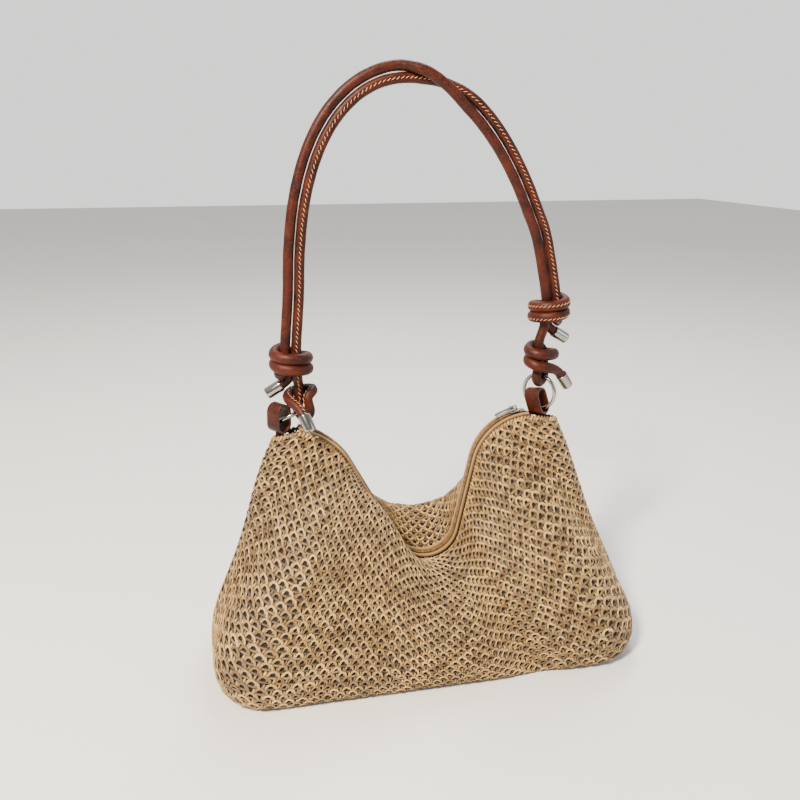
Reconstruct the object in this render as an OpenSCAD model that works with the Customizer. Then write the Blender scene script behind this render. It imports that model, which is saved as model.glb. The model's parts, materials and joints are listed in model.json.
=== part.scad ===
// Slouchy shoulder bag: a soft body of open raffia mesh with a sagging zipped mouth, two leather tabs
// with steel rings, and a handle of two rolled leather cords that are knotted to the rings.
// X runs along the bag, Y from front to back, Z up. The origin is the middle of the base, on the floor.

/* [Body] */
// Length of the flat base
base_length = 374; // [330:2:450]
// Depth of the flat base, front to back
base_depth = 142; // [114:2:172]
// Plan radius of the base's corners
base_corner_r = 34; // [24:1:42]
// Height of the two top corners above the floor
peak_height = 222; // [185:1:268]
// Distance of each side seam's top from the middle
peak_x = 133; // [115:1:158]
// How far the mouth lies behind the middle of the base
mouth_setback = 20; // [8:1:28]
// How far the mouth lies to the left of the middle of the base
mouth_shift = 4; // [0:1:10]
// Thickness of the raffia mesh
cloth_t = 2; // [1.4:0.1:2.4]
// How far the walls belly out beyond the base
wall_belly = 22; // [14:1:28]

/* [Zip] */
// Height of the lowest point of the sagging zip
zip_low = 88; // [70:1:110]
// How far the zip's ends stand above the side seams' tops
zip_rise = 6; // [3:1:8]
// Distance of the zip's ends from the side seams' tops
zip_end_gap = 24; // [20:1:28]
// Radius of the hump beside the right corner, which the slider runs over
hump_r = 54; // [44:1:60]
// Radius of the valley at the bottom of the sag
valley_r = 31; // [24:1:36]
// Width of the zip from mesh to mesh
mouth_w = 17; // [16.6:0.2:20]
// Thickness of the zip tape
tape_t = 0.8; // [0.6:0.1:1.2]
// Height of the coil above the tape
coil_h = 1.9; // [1.6:0.1:2.4]

/* [Hardware] */
// Radius of the ring's wire centre line
ring_r = 16.4; // [14:0.2:19.6]
// Diameter of the ring's wire
ring_wire = 3.6; // [3:0.1:4.2]
// Width of the leather tab
tab_w = 15; // [12:0.5:16]
// Thickness of the tab's leather
tab_t = 2; // [1.6:0.1:2.2]
// Clear width inside the tab's loop
tab_gap = 12; // [10:0.5:14]
// Length of the metal end caps
cap_length = 15.5; // [13:0.5:18]

/* [Handle] */
// Diameter of each rolled leather cord
cord_d = 9; // [7.6:0.1:9]
// Wall of the cord's leather
cord_wall = 1.4; // [1:0.1:1.8]
// Height of the top of the handle above the floor
handle_top = 529; // [480:1:600]

/* [Hidden] */

// colours
RAFFIA = [0.79, 0.67, 0.47];
FACING = [0.76, 0.62, 0.41];
TAPE = [0.55, 0.42, 0.24];
COIL = [0.66, 0.52, 0.32];
LEATHER = [0.42, 0.21, 0.13];
STEEL = [0.75, 0.75, 0.75];
COTTON = [0.88, 0.86, 0.8];

// clearances
seam_gap = 0.3;                 // between the front and the back panel along their seams
soft_gap = 0.3;                 // between pieces that are sewn to each other
slider_gap = 0.4;               // between the slider and the coil or the tape
cap_gap = 0.2;                  // round the cord inside an end cap

// grids of the soft pieces
columns = 34;                   // panel columns, from side seam to side seam
rows = 19;                      // panel rows, from the base seam to the mouth
strip_steps = 56;               // steps along the zip
tube_sides = 8;                 // sides of a cord
filler_sides = 6;               // sides of the filling inside a cord

// ---------------------------------------------------------------- small maths
function lerp(a, b, t) = a + (b - a) * t;
function unit(v) = v / norm(v);
function bell(x, mid, w) = exp(-pow((x - mid) / w, 2));
function clamp01(x) = min(1, max(0, x));
function rad(a) = a * PI / 180;

// a point on a uniform cubic B-spline whose end points are tripled, so that it reaches them
function spline_knots(k) = concat([k[0], k[0]], k, [k[len(k) - 1], k[len(k) - 1]]);
function spline_at(q, t) = let(
    n = len(q) - 3,
    i = min(n - 1, floor(t * n)),
    f = t * n - i)
    (pow(1 - f, 3) * q[i] + (3 * pow(f, 3) - 6 * f * f + 4) * q[i + 1]
     + (-3 * pow(f, 3) + 3 * f * f + 3 * f + 1) * q[i + 2] + pow(f, 3) * q[i + 3]) / 6;
function spline(k, steps) = let(q = spline_knots(k)) [for (i = [0:steps]) spline_at(q, i / steps)];

// running length along a list of points, and the point at a given length
function lengths(p) = [for (i = 0, s = 0; i < len(p);
    s = s + (i + 1 < len(p) ? norm(p[i + 1] - p[i]) : 0), i = i + 1) s];
function seek(s, d, lo, hi) = hi - lo <= 1 ? lo : let(m = floor((lo + hi) / 2))
    s[m] <= d ? seek(s, d, m, hi) : seek(s, d, lo, m);
function point_along(p, s, d) = let(
    i = seek(s, d, 0, len(s) - 1),
    step = s[i + 1] - s[i])
    lerp(p[i], p[i + 1], step == 0 ? 0 : clamp01((d - s[i]) / step));
function even_points(p, n) = let(s = lengths(p), total = s[len(s) - 1])
    [for (i = [0:n]) point_along(p, s, total * i / n)];

// ---------------------------------------------------------------- the zip's path, in the plane of the mouth
zip_end_x = peak_x - zip_end_gap;       // from the mouth's own middle, as is the whole path
zip_end_z = peak_height + zip_rise;
mouth_y = mouth_setback;
steep = 78;                     // slope of the zip on the right of the sag
gentle = 62;                    // slope of the zip on the left of the sag
shoulder = 15;                  // slope of the zip at the left corner
hump_c = [zip_end_x, zip_end_z - hump_r];
drop_fall = (zip_end_z - zip_low - (hump_r + valley_r) * (1 - cos(steep))) / sin(steep);
low_x = zip_end_x - (hump_r + valley_r) * sin(steep) - drop_fall * cos(steep);
left_rise = zip_end_z - zip_low - valley_r * (1 - cos(gentle));
left_run = low_x + zip_end_x - valley_r * sin(gentle);
turn_run = sin(gentle) - sin(shoulder);
turn_rise = cos(shoulder) - cos(gentle);
left_r = (left_run * sin(gentle) - left_rise * cos(gentle))
         / (turn_run * sin(gentle) - turn_rise * cos(gentle));
left_line = (left_rise - left_r * turn_rise) / sin(gentle);
zip_parts = [rad(steep) * hump_r, drop_fall, rad(steep + gentle) * valley_r, left_line,
             rad(gentle - shoulder) * left_r];
zip_marks = [0, zip_parts[0], zip_parts[0] + zip_parts[1], zip_parts[0] + zip_parts[1] + zip_parts[2],
             zip_parts[0] + zip_parts[1] + zip_parts[2] + zip_parts[3]];
zip_length = zip_marks[4] + zip_parts[4];

// x, z and heading at a distance d from the right end: over the hump, down, through the valley and up
function zip_at(d) =
    d <= zip_marks[1] ? let(a = d / hump_r * 180 / PI)
        [hump_c[0] - hump_r * sin(a), hump_c[1] + hump_r * cos(a), 180 + a]
    : d <= zip_marks[2] ? let(p = zip_at(zip_marks[1]), l = d - zip_marks[1])
        [p[0] - l * cos(steep), p[1] - l * sin(steep), 180 + steep]
    : d <= zip_marks[3] ? let(a = steep - (d - zip_marks[2]) / valley_r * 180 / PI)
        [low_x + valley_r * sin(a), zip_low + valley_r * (1 - cos(a)), 180 + a]
    : d <= zip_marks[4] ? let(p = zip_at(zip_marks[3]), l = d - zip_marks[3])
        [p[0] - l * cos(gentle), p[1] + l * sin(gentle), 180 - gentle]
    : let(p = zip_at(zip_marks[4]), a = gentle - (d - zip_marks[4]) / left_r * 180 / PI)
        [p[0] - left_r * (sin(gentle) - sin(a)), p[1] + left_r * (cos(a) - cos(gentle)), 180 - a];

// a point beside the path: out of the bag by up, and front to back by y
function beside_zip(d, y, up) = let(p = zip_at(d))
    [p[0] - mouth_shift + up * sin(p[2]), mouth_y + y, p[1] - up * cos(p[2])];

// ---------------------------------------------------------------- the body's surface
half_l = base_length / 2;
half_d = base_depth / 2;
edge_y = mouth_w / 2;
end_run = norm([zip_end_gap, edge_y]);
rim_length = zip_length + 2 * end_run;
side_flat = half_d - base_corner_r;
corner_run = base_corner_r * PI / 2;
front_run = base_length - 2 * base_corner_r;
foot_length = 2 * side_flat + 2 * corner_run + front_run;

// half of the base's outline from the left seam to the right one: x, distance from the middle line, and
// the outward direction in plan
function foot_half(d) =
    d <= side_flat ? [-half_l, d, -1, 0]
    : d <= side_flat + corner_run ? let(a = (d - side_flat) / base_corner_r * 180 / PI)
        [-half_l + base_corner_r * (1 - cos(a)), side_flat + base_corner_r * sin(a), -cos(a), sin(a)]
    : [-half_l + base_corner_r + d - side_flat - corner_run, half_d, 0, 1];
function foot(s) = let(d = s * foot_length)
    d <= foot_length / 2 ? foot_half(d)
    : let(q = foot_half(foot_length - d)) [-q[0], q[1], -q[2], q[3]];

// the mouth's edge from the left seam to the right one: x, distance from the mouth's middle, and height;
// the cloth of the right shoulder reaches further out than that of the left one
shoulder_out = 7;
rim_drop = tape_t / 2 + 1;       // the mesh's edge lies this far under the middle of the zip tape
function rim_end(a, out) = [peak_x + out - (zip_end_gap + out) * (1 - cos(a)), edge_y * sin(a),
                            peak_height - rim_drop + zip_rise * (1 - cos(a))];
function rim(s) = let(d = s * rim_length)
    d < end_run ? let(q = rim_end(90 * d / end_run, 0)) [-q[0] - mouth_shift, q[1], q[2]]
    : d > rim_length - end_run ? let(q = rim_end(90 * (rim_length - d) / end_run, shoulder_out))
        [q[0] - mouth_shift, q[1], q[2]]
    : let(p = beside_zip(rim_length - end_run - d, 0, -rim_drop)) [p[0], edge_y, p[2]];

// folds of the slumped cloth, in millimetres: a lobe that rolls over the zip left of the valley, and a
// crease that runs from the valley down to the right
fold_x = -40;
fold_w = 30;
fold_rise = 46;
crease_depth = 13;
crease_w = 19;
crease_top = [30, 100];
crease_foot = [96, 10];
function crease(x, z) = let(
    along = crease_foot - crease_top,
    t = clamp01(((x - crease_top[0]) * along[0] + (z - crease_top[1]) * along[1]) / (along * along)),
    off = norm([x, z] - crease_top - t * along))
    crease_depth * exp(-pow(off / crease_w, 2));

// control points of one column, from the base seam up to the mouth; side is -1 in front, +1 behind
function column_knots(s, side) = let(
    f = foot(s),
    r = rim(s),
    sag = clamp01((zip_end_z - r[2]) / (zip_end_z - zip_low)),
    lobe = side < 0 ? bell(r[0], fold_x, fold_w) : 0.9 * sag,
    belly = wall_belly,
    y0 = side * max(f[1], seam_gap / 2),
    y1 = mouth_y + side * max(r[1], seam_gap / 2),
    out_y = side * f[3])
    [[lerp(-half_l, half_l, s), side * seam_gap / 2, 0],
     [lerp(lerp(-half_l, half_l, s), f[0], 0.4), y0 * 0.4, 0],
     [lerp(lerp(-half_l, half_l, s), f[0], 0.85), y0 * 0.85, 0],
     [f[0] + 6 * f[2], y0 + 6 * out_y, 0],
     [f[0] + (belly - 4) * f[2], y0 + 0.6 * belly * out_y, 26],
     [lerp(f[0], r[0], 0.16) + belly * f[2], lerp(y0, y1, 0.16) + belly * 0.8 * out_y, 62 - 10 * sag],
     [lerp(f[0], r[0], 0.5) + belly * 0.45 * f[2],
      lerp(y0, y1, 0.44 - 0.14 * sag) + belly * 0.75 * out_y,
      0.54 * r[2] + 24 * sag + 22 * lobe],
     [lerp(f[0], r[0], 0.86) + 9 * f[2],
      y1 + side * (9 + 32 * sag) * clamp01(r[1] / edge_y),
      lerp(r[2] - 36, r[2] + 8, sag) + fold_rise * lobe],
     [r[0], y1, r[2]]];

function dented(p, side) = side > 0 ? p : let(
    free = clamp01((mouth_y - edge_y - 4 - p[1]) / 24) * clamp01(p[2] / 14))
    [p[0], p[1] + crease(p[0], p[2]) * free, p[2] - 0.5 * crease(p[0], p[2]) * free];

function column(s, side) = even_points(
    [for (p = spline(column_knots(s, side), 44)) dented(p, side)], rows);
function panel_grid(side) = [for (i = [0:columns]) column(i / columns, side)];

// inward direction at a grid point, from its neighbours
function grid_normal(g, i, j) = let(
    a = g[min(i + 1, columns)][j] - g[max(i - 1, 0)][j],
    b = g[i][min(j + 1, rows)] - g[i][max(j - 1, 0)])
    unit(cross(a, b));
function flat_y(v, on) = on ? unit([v[0], 0, v[2]]) : v;
// step from the outer grid to the inner one; the base's two end points step inwards and up
function inward(g, side, i, j) = let(at_end = i == 0 || i == columns)
    j == 0 && at_end ? [i == 0 ? 1 : -1, 0, 1] : side * flat_y(grid_normal(g, i, j), at_end || j == 0);
function inner_grid(g, side) = [for (i = [0:columns]) [for (j = [0:rows])
    g[i][j] + cloth_t * inward(g, side, i, j)]];

// closed shell between an outer and an inner grid
function shell_id(i, j, layer) = layer * (columns + 1) * (rows + 1) + i * (rows + 1) + j;
function two(a, b, c, d, turn) = turn ? [[a, c, b], [a, d, c]] : [[a, b, c], [a, c, d]];
module shell(outer, inner, turn) {
    skin = [for (layer = [0, 1]) for (i = [0:columns - 1]) for (j = [0:rows - 1])
        each i < columns / 2
            ? two(shell_id(i, j, layer), shell_id(i + 1, j, layer), shell_id(i + 1, j + 1, layer),
                  shell_id(i, j + 1, layer), (layer == 1) != turn)
            : two(shell_id(i, j + 1, layer), shell_id(i, j, layer), shell_id(i + 1, j, layer),
                  shell_id(i + 1, j + 1, layer), (layer == 1) != turn)];
    low_high = [for (j = [0, rows]) for (i = [0:columns - 1])
        each two(shell_id(i, j, 0), shell_id(i + 1, j, 0), shell_id(i + 1, j, 1), shell_id(i, j, 1),
                 (j == 0) != turn)];
    sides = [for (i = [0, columns]) for (j = [0:rows - 1])
        each two(shell_id(i, j, 0), shell_id(i, j + 1, 0), shell_id(i, j + 1, 1), shell_id(i, j, 1),
                 (i != 0) != turn)];
    polyhedron([for (g = [outer, inner]) for (c = g) each c], concat(skin, low_high, sides));
}
module panel(side) {
    g = panel_grid(side);
    shell(g, inner_grid(g, side), side < 0);
}
module front_panel() { color(RAFFIA) panel(-1); }
module back_panel() { color(RAFFIA) panel(1); }

// ---------------------------------------------------------------- sweeps
// closed solid through a list of rings that all have the same number of points
module loft(rings) {
    n = len(rings[0]);
    m = len(rings);
    around = [for (i = [0:m - 2]) for (k = [0:n - 1])
        each two(i * n + k, (i + 1) * n + k, (i + 1) * n + (k + 1) % n, i * n + (k + 1) % n, false)];
    polyhedron([for (r = rings) each r],
        concat(around, [[for (k = [0:n - 1]) k]], [[for (k = [n - 1:-1:0]) (m - 1) * n + k]]));
}

// strip along the zip between two offsets in Y and two heights above the path
module zip_strip(y0, y1, low, high, d0, d1) {
    loft([for (i = [0:strip_steps]) let(d = lerp(d0, d1, i / strip_steps))
        [beside_zip(d, y0, low), beside_zip(d, y0, high), beside_zip(d, y1, high), beside_zip(d, y1, low)]]);
}

// ---------------------------------------------------------------- seam tapes inside the bag
tape_in = cloth_t + 1.6;        // distance of the seam tapes from the outside of the mesh
seam_tape_t = 0.8;
seam_tape_w = 7;
base_tape_inset = 26;
seam_first = 3;                 // first and last panel row that the side tapes cover
seam_last = 12;
module side_seam_tape(left) {
    g = panel_grid(-1);
    i = left ? 0 : columns;
    rings = [for (j = [seam_first:seam_last]) let(
        p = g[i][j],
        n = flat_y(grid_normal(g, i, j), true) * -1)
        [for (c = [[-1, 0], [-1, 1], [1, 1], [1, 0]])
            p + n * (tape_in + c[1] * seam_tape_t) + [0, c[0] * seam_tape_w / 2, 0]]];
    loft(left ? rings : [for (r = rings) [r[3], r[2], r[1], r[0]]]);
}
module side_seam_tape_left() { color(FACING) side_seam_tape(true); }
module side_seam_tape_right() { color(FACING) side_seam_tape(false); }
module base_seam_tape() {
    color(FACING) translate([0, 0, cloth_t + soft_gap + seam_tape_t / 2])
        cube([base_length - 2 * base_tape_inset, seam_tape_w, seam_tape_t], center = true);
}

// ---------------------------------------------------------------- mouth: facing, tapes, coil, stops
tape_edge = edge_y - soft_gap;  // outer edge of the tape, just inside the mesh
coil_out = 2.5;                 // the coil's halves lie between these distances from the middle
coil_in = 0.45;
facing_in = 4.6;                // inner edge of the plain cloth facing
facing_t = 0.9;
facing_low = tape_t / 2 + 0.15;
coil_low = tape_t / 2 + 0.4;
stop_length = 2.4;
zip_margin = 5;                 // bare tape beyond the coil at each end
module mouth_binding_front() {
    color(FACING) zip_strip(-tape_edge, -facing_in, facing_low, facing_low + facing_t, 0, zip_length);
}
module mouth_binding_back() {
    color(FACING) zip_strip(facing_in, tape_edge, facing_low, facing_low + facing_t, 0, zip_length);
}
module zip_tape_front() {
    color(TAPE) zip_strip(-tape_edge, -coil_in, -tape_t / 2, tape_t / 2, 0, zip_length);
}
module zip_tape_back() {
    color(TAPE) zip_strip(coil_in, tape_edge, -tape_t / 2, tape_t / 2, 0, zip_length);
}
module zip_coil_front() {
    color(COIL) zip_strip(-coil_out, -coil_in, coil_low, coil_low + coil_h, zip_margin,
                          zip_length - zip_margin);
}
module zip_coil_back() {
    color(COIL) zip_strip(coil_in, coil_out, coil_low, coil_low + coil_h, zip_margin,
                          zip_length - zip_margin);
}
module zip_stop(d) {
    p = zip_at(d);
    translate([p[0] - mouth_shift, mouth_y, p[1]]) rotate([0, 180 - p[2], 0])
        translate([-stop_length / 2, -coil_out, coil_low])
            cube([stop_length, 2 * coil_out, coil_h]);
}
module zip_stop_right() { color(STEEL) zip_stop(zip_margin - stop_length / 2 - 0.3); }
module zip_stop_left() { color(COIL) zip_stop(zip_length - zip_margin + stop_length / 2 + 0.3); }

// ---------------------------------------------------------------- slider and pull, over the hump
slider_angle = 13;              // the slider's place on the hump, from the zip's right end
slider_l = 10;
slider_w = 8.4;
plate_t = 1.2;
post_t = 0.5;                   // the slider's post runs between the coil's halves
plate_low = coil_low + coil_h + slider_gap;
crown_l = 7.4;
crown_w = 2;
crown_bar = 1.1;
pull_pin_r = 0.75;
pull_pin_up = plate_low + plate_t + 2.1;
pull_w = 7;
pull_t = 1.3;
pull_l = 19;
pull_drop = 9;                  // the pull lies down by this angle from the slider's own plane
eye_gap = 0.35;
// local frame on the slider: X along the zip towards the valley, Z out of the bag
module on_slider() {
    p = zip_at(rad(slider_angle) * hump_r);
    translate([p[0] - mouth_shift, mouth_y, p[1]]) rotate([0, 180 - p[2], 0]) mirror([1, 0, 0]) children();
}
module slider_plate(low, l, w) {
    translate([0, 0, low]) {
        translate([-l / 2, -w / 2 + 1.2, 0]) cube([l, w - 2.4, plate_t]);
        translate([-l / 2 + 1.2, -w / 2, 0]) cube([l - 2.4, w, plate_t]);
        for (x = [-1, 1]) for (y = [-1, 1])
            translate([x * (l / 2 - 1.2), y * (w / 2 - 1.2), 0]) cylinder(r = 1.2, h = plate_t, $fn = 24);
    }
}
module zip_slider() {
    color(STEEL) on_slider() {
        slider_plate(plate_low, slider_l, slider_w);
        slider_plate(-tape_t / 2 - slider_gap - plate_t, slider_l, slider_w);
        translate([-slider_l / 2 + 0.6, -post_t / 2, -tape_t / 2 - slider_gap - plate_t / 2])
            cube([2.4, post_t, plate_low + tape_t / 2 + slider_gap + plate_t]);
        difference() {
            translate([-crown_l / 2, -crown_w / 2, plate_low + plate_t / 2])
                cube([crown_l, crown_w, plate_t / 2 + 2.1 + pull_pin_r + eye_gap + crown_bar]);
            translate([-crown_l / 2 + crown_bar, -crown_w, plate_low + plate_t])
                cube([crown_l - 2 * crown_bar, 2 * crown_w, 2.1 + pull_pin_r + eye_gap]);
        }
    }
}
module zip_pull() {
    arm = (pull_w - crown_w) / 2 - eye_gap;
    eye_l = crown_l / 2 + 1.2;
    color(STEEL) on_slider() translate([0, 0, pull_pin_up]) rotate([0, pull_drop, 0]) {
        rotate([90, 0, 0]) cylinder(r = pull_pin_r, h = pull_w - 0.6, center = true, $fn = 24);
        for (y = [-1, 1]) {
            translate([-0.9, y > 0 ? crown_w / 2 + eye_gap : -pull_w / 2, -pull_t / 2])
                cube([eye_l + 0.9, arm, pull_t]);
        }
        difference() {
            translate([eye_l - 0.01, -pull_w / 2, -pull_t / 2]) cube([pull_l - eye_l, pull_w, pull_t]);
            translate([eye_l + 2.4, -pull_w / 2 + 1.6, -pull_t])
                cube([pull_l - eye_l - 4.6, pull_w - 3.2, 2 * pull_t]);
        }
    }
}

// ---------------------------------------------------------------- tabs and rings
hang_left = -peak_x - mouth_shift + 7;  // where each ring's wire passes through its tab
hang_right = peak_x - mouth_shift - 12;
hang_up = 9.5;                  // height of that wire above the side seam's top
hang_z = peak_height + hang_up;
tab_turn = -52;                 // direction of the loops' axes in plan, from +X
tab_lift = 1.8;                 // the tab's rounded bottom lies this much above the ring's wire line
tab_lean_right = -18;
tab_lean_left = 2;
tab_root = 6;                   // length of the tab's end inside the bag, which lies along the seam
tab_root_w = 6.5;               // width and thickness of that end
tab_root_t = 2.6;
tab_rise = 11;                  // straight part of the loop's sides
module tab_profile() {
    r_in = tab_gap / 2;
    difference() {
        union() {
            circle(r = r_in + tab_t, $fn = 48);
            translate([0, tab_rise]) circle(r = r_in + tab_t, $fn = 48);
            translate([-r_in - tab_t, 0]) square([tab_gap + 2 * tab_t, tab_rise]);
        }
        circle(r = r_in, $fn = 48);
        translate([0, tab_rise]) circle(r = r_in, $fn = 48);
        translate([-r_in, 0]) square([tab_gap, tab_rise]);
    }
}
module tab(x, lean) {
    low = -hang_up - tab_root - tab_lift;
    color(LEATHER) translate([x, mouth_y, hang_z + tab_lift]) rotate([0, lean, 0]) {
        rotate([0, 0, tab_turn - 90]) rotate([90, 0, 0])
            linear_extrude(tab_w, center = true) tab_profile();
        translate([-tab_root_w / 2, -tab_root_t / 2, low])
            cube([tab_root_w, tab_root_t, -low - tab_gap / 2 - tab_t / 2]);
    }
}
module tab_left() { tab(hang_left, tab_lean_left); }
module tab_right() { tab(hang_right, tab_lean_right); }

// a ring is given by the direction from its wire at the tab to its middle, and by its axis
ring_right_mid = [hang_right, mouth_y, hang_z + ring_r];
ring_left_axis = unit([-0.39, 0.33, 0.86]);
ring_left_reach = unit(cross(ring_left_axis, [cos(tab_turn), sin(tab_turn), 0]));
ring_left_lift = 3.4;            // the slanted ring's wire lies this much higher in its tab
ring_left_mid = [hang_left - 1, mouth_y - 0.8, hang_z + ring_left_lift] + ring_left_reach * ring_r;
module ring(mid, axis) {
    color(STEEL) translate(mid) rotate([0, acos(axis[2]), atan2(axis[1], axis[0])])
        rotate_extrude($fn = 72) translate([ring_r, 0]) circle(d = ring_wire, $fn = 24);
}
module ring_right() { ring(ring_right_mid, [-sin(tab_turn), cos(tab_turn), 0]); }
module ring_left() {
    ring(ring_left_mid, ring_left_axis);
}

// ---------------------------------------------------------------- the handle's two cords
// Each cord ends at one side in the upper knot, whose wraps grip the other cord, and at the other side
// goes through the upper knot, round the ring and into the lower knot on itself.
// local frames of the knots: [origin, outward or b, c, up]
ring_left_top = ring_left_mid + ring_r * unit([0, 0, 1] - ring_left_axis * ring_left_axis[2]);
ring_right_top = ring_right_mid + [0, 0, ring_r];
left_level = unit(cross([0, 0, 1], ring_left_axis));
upper_right = [hang_right + 5, mouth_y, hang_z + 96];
upper_left = [hang_left + 13, mouth_y, hang_z + 59];
function at_frame(o, b, c, p) = o + p[0] * b + p[1] * c + [0, 0, p[2]];

core_r = 5.6;                   // the three strands in the upper knot's core, round its axis
wrap_r = 15.1;                  // the upper knot's wraps
wrap_pitch = 9.6;
wrap_low = -9.8;
strand_in = -30;                // angles of the strands in the core
strand_tail = 90;
strand_through = 210;
function polar(r, a, h) = [r * cos(a), r * sin(a), h];

// wrapping cord, from above down through the core, round and up, and down again to its tail
wrap_turn = 650;
wrap_steps = 22;
tail_points = [[0.4, 5.5, -12.5], [3, 6.4, -18], [9, 7, -23], [15.6, 7.6, -27.2]];
wrap_path = concat(
    [polar(core_r, strand_in, 14), polar(core_r, strand_in, 4), polar(core_r, strand_in, -4),
     polar(7, strand_in + 15, -10), polar(10.2, strand_in + 38, -12), polar(13.2, strand_in + 66, -11.4)],
    [for (i = [0:wrap_steps]) polar(wrap_r, strand_in + 95 + wrap_turn * i / wrap_steps,
                                    wrap_low + wrap_pitch * wrap_turn / 360 * i / wrap_steps)],
    [polar(13.2, strand_tail - 66, 9.4), polar(10.2, strand_tail - 38, 10.4),
     polar(7, strand_tail - 15, 8), polar(core_r, strand_tail, 2), polar(core_r, strand_tail, -6)],
    tail_points);
// through cord, from above down through the core
through_path = [for (h = [14, 4, -6, -16]) polar(core_r, strand_through, h)];

// through cord round the ring's wire and into the lower knot, in the frame at the ring's top
grip_r = 6.9;                   // the cord's middle line round the ring's wire
lower_b = 14.7;                 // half-axes of the oval that the lower knot's wraps follow
lower_c = 11.2;
lower_pitch = 10.2;
lower_step = 30;
function ring_path(turns) = let(top = 15.8 + lower_pitch * turns) concat(
    [[-5, 0, top + 8], [-4.8, 0, top], [-4.8, 0, top - 9], [-5.4, 0, 6]],
    [for (a = [180:36:360]) [grip_r * cos(a), 0, grip_r * sin(a)]],
    [[5.4, 0, 6], [4.8, 0, (top + 2) / 2], [4.8, 0.8, top - 3], [5.2, 6, top]],
    [for (i = [0:12 * turns + 3]) let(a = 80 + lower_step * i)
        [lower_b * cos(a), lower_c * sin(a), top + 0.6 - lower_pitch * lower_step * i / 360]],
    [[-13.4, -5.4, 11.8], [-5.8, -11.6, 10], [4, -14, 6.2], [11, -16, 0.4], [15.6, -17.4, -5.6]]);

// the handle's arch: middle line between the two cords, as shares of the way across and up
arch_left = upper_left + [0, 0, 30];
arch_right = upper_right + [-1, 0, 30];
arch_shape = [[0.018, 0.13], [0.028, 0.32], [0.052, 0.51], [0.097, 0.68], [0.16, 0.815], [0.24, 0.915],
              [0.325, 0.975], [0.41, 1], [0.495, 0.99], [0.578, 0.95], [0.658, 0.88], [0.732, 0.785],
              [0.802, 0.66], [0.866, 0.51], [0.918, 0.355], [0.962, 0.2]];
arch_line = [for (q = arch_shape) [lerp(arch_left[0], arch_right[0], q[0]), mouth_y,
    lerp(lerp(arch_left[2], arch_right[2], q[0]), handle_top, q[1])]];
pair_r = 4.8;                   // each cord's distance from the arch's middle line
cross_from = 7;                 // arch points between which the two cords cross
cross_to = 10.4;
function arch_cord(phase) = [for (i = [0:len(arch_line) - 1]) let(
    t = unit(arch_line[min(i + 1, len(arch_line) - 1)] - arch_line[max(i - 1, 0)]),
    n = [t[2], 0, -t[0]],
    turn = phase + 180 * clamp01((i - cross_from) / (cross_to - cross_from)))
    arch_line[i] + pair_r * (n * cos(turn) + [0, sin(turn), 0])];

// lists in world coordinates; a mirrored frame serves the left side
function upper_left_points(p) = [for (q = p) at_frame(upper_left, [-1, 0, 0], [0, 1, 0], q)];
function upper_right_points(p) = [for (q = p) at_frame(upper_right, [1, 0, 0], [0, 1, 0], q)];
function lower_right_points(p) = [for (q = p) at_frame(ring_right_top,
    [-sin(tab_turn), cos(tab_turn), 0], [-cos(tab_turn), -sin(tab_turn), 0], q)];
function lower_left_points(p) = [for (q = p) at_frame(ring_left_top,
    cross([0, 0, 1], left_level), -left_level, q)];
function backwards(p) = [for (i = [len(p) - 1:-1:0]) p[i]];

cord_a_points = concat(backwards(upper_left_points(wrap_path)), arch_cord(180),
    upper_right_points(through_path), lower_right_points(ring_path(1)));
cord_b_points = concat(backwards(upper_right_points(wrap_path)), backwards(arch_cord(0)),
    upper_left_points(through_path), lower_left_points(ring_path(0)));

// middle line of a cord: through every point, with extra points where the spacing is wide
function bend(p, i, t) = let(
    n = len(p) - 1,
    a = p[max(i - 1, 0)], b = p[i], c = p[min(i + 1, n)], d = p[min(i + 2, n)])
    0.5 * (2 * b + (c - a) * t + (2 * a - 5 * b + 4 * c - d) * t * t
           + (3 * b - a - 3 * c + d) * t * t * t);
ring_spacing = 14;
function smooth_line(p) = concat([for (i = [0:len(p) - 2]) let(
    cuts = max(1, round(norm(p[i + 1] - p[i]) / ring_spacing)))
    for (k = [0:cuts - 1]) bend(p, i, k / cuts)], [p[len(p) - 1]]);

// directions across a path that do not twist round it
function tangent(p, i) = unit(p[min(i + 1, len(p) - 1)] - p[max(i - 1, 0)]);
function across(n, t) = unit(n - t * (n * t));
function cross_lines(p) = [for (i = 0, n = across([0.3, 0.9, 0.2], tangent(p, 0)); i < len(p);
    i = i + 1, n = i < len(p) ? across(n, tangent(p, i)) : n) n];
function tube_rings(p, r, sides) = let(c = cross_lines(p)) [for (i = [0:len(p) - 1]) let(
    t = tangent(p, i),
    b = cross(t, c[i]))
    [for (k = [0:sides - 1]) p[i] + r * (c[i] * cos(360 * k / sides) + b * sin(360 * k / sides))]];

// a tube with a wall: outer skin, inner skin and two annular ends
module pipe(p, r, wall, sides) {
    outer = tube_rings(p, r, sides);
    inner = tube_rings(p, r - wall, sides);
    m = len(p);
    n = sides;
    skins = [for (layer = [0, 1]) for (i = [0:m - 2]) for (k = [0:n - 1]) let(o = layer * m * n)
        each two(o + i * n + k, o + (i + 1) * n + k, o + (i + 1) * n + (k + 1) % n,
                 o + i * n + (k + 1) % n, layer == 1)];
    ends = [for (i = [0, m - 1]) for (k = [0:n - 1])
        each two(i * n + k, i * n + (k + 1) % n, m * n + i * n + (k + 1) % n, m * n + i * n + k, i != 0)];
    polyhedron([for (g = [outer, inner]) for (r = g) each r], concat(skins, ends));
}
filler_gap = 0.45;
module sleeve(points) { color(LEATHER) pipe(smooth_line(points), cord_d / 2, cord_wall, tube_sides); }
module filler(points) {
    color(COTTON) loft(tube_rings(smooth_line(points), cord_d / 2 - cord_wall - filler_gap, filler_sides));
}
module cord_sleeve_a() { sleeve(cord_a_points); }
module cord_sleeve_b() { sleeve(cord_b_points); }
module cord_filler_a() { filler(cord_a_points); }
module cord_filler_b() { filler(cord_b_points); }

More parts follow.
